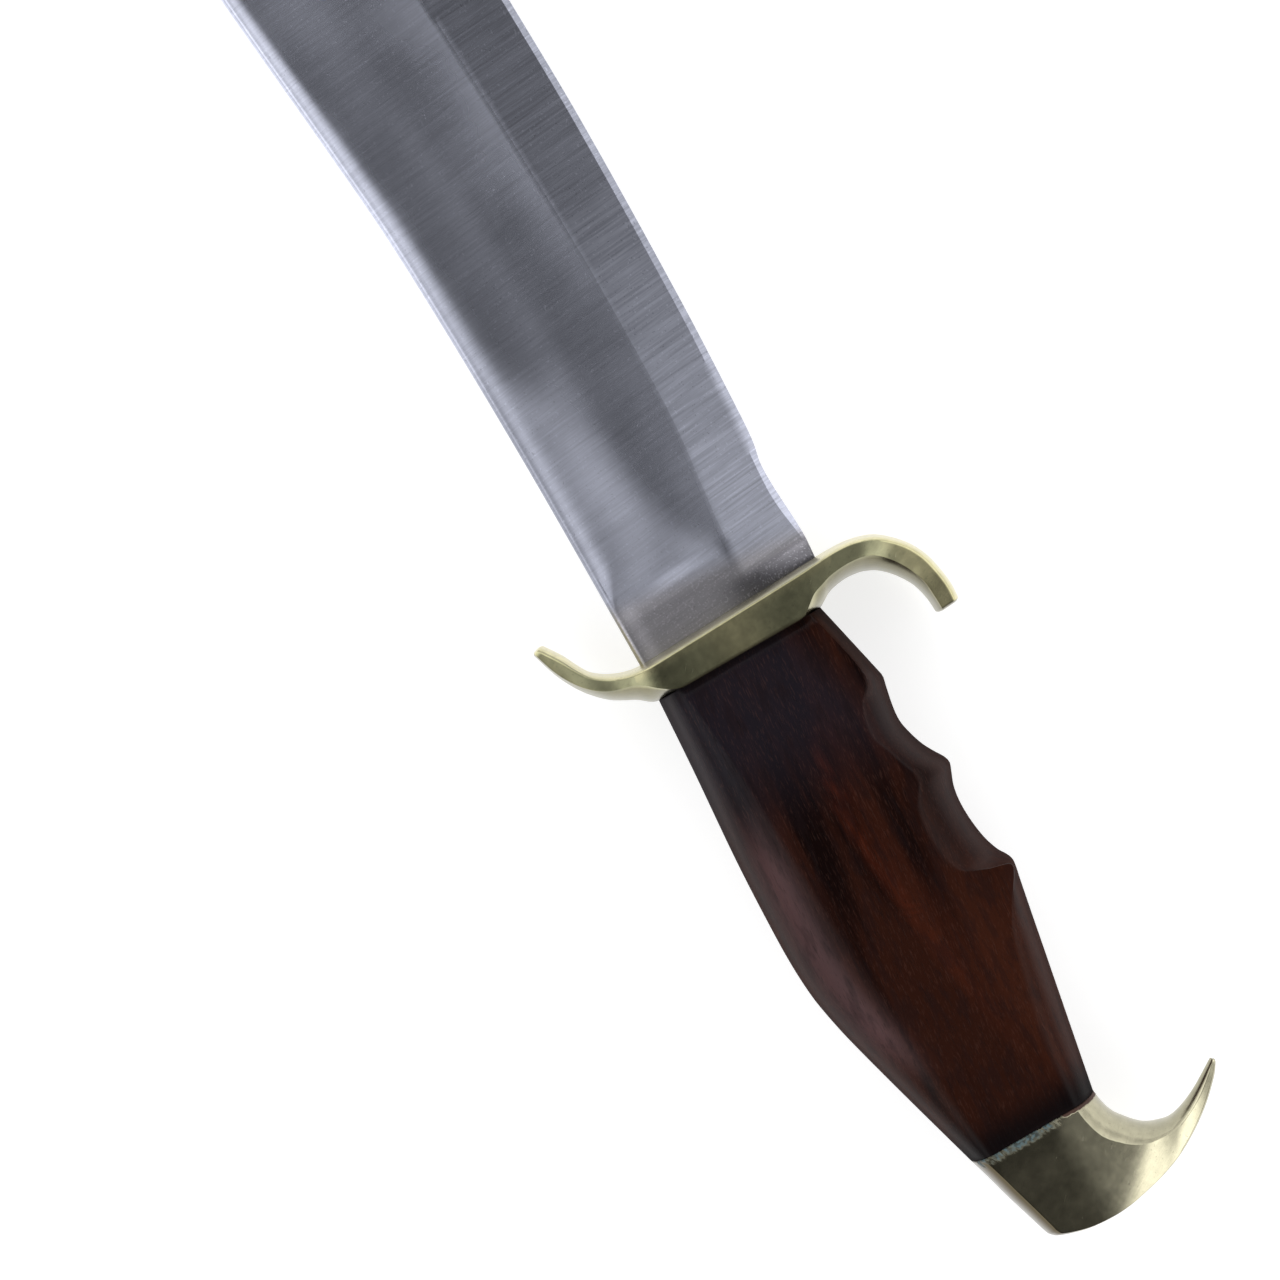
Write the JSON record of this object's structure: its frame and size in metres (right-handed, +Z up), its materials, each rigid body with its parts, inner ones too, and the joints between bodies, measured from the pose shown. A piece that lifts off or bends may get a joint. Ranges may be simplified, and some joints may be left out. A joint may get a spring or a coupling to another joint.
{
  "type": "bowie knife",
  "caption": "Fixed-blade bowie knife with a hollow-ground steel blade, brass S-shaped cross guard, finger-grooved rosewood grip and beaked brass pommel.",
  "frame": {"origin": "middle of the guard's lower side face, on the line of the tang; the knife's middle plane is 14 mm above it", "axes": "+X along the knife to the blade's tip, +Y across the blade to its spine, +Z up out of the side the knife lies on"},
  "size_m": [0.428, 0.0776, 0.028],
  "materials": {
    "blade_steel": "satin ground across the bevel and along the hollow, polished spine and edge",
    "guard_brass": "hand-polished, lightly tarnished",
    "pommel_brass": "hand-polished, lightly tarnished, verdigris at the wood",
    "grip_wood": "satin-lacquered dark rosewood, grain along the grip",
    "fastener_steel": "bright zinc plate",
    "epoxy": "matt, dark"
  },
  "bodies": {
    "root": {"blade": "blade_steel", "guard": "guard_brass", "grip": "grip_wood", "tang_rod": "fastener_steel", "tang_bedding": "epoxy", "clamp_washer": "fastener_steel", "clamp_nut": "fastener_steel", "pommel": "pommel_brass", "pommel_epoxy": "epoxy"}
  },
  "joints": []
}
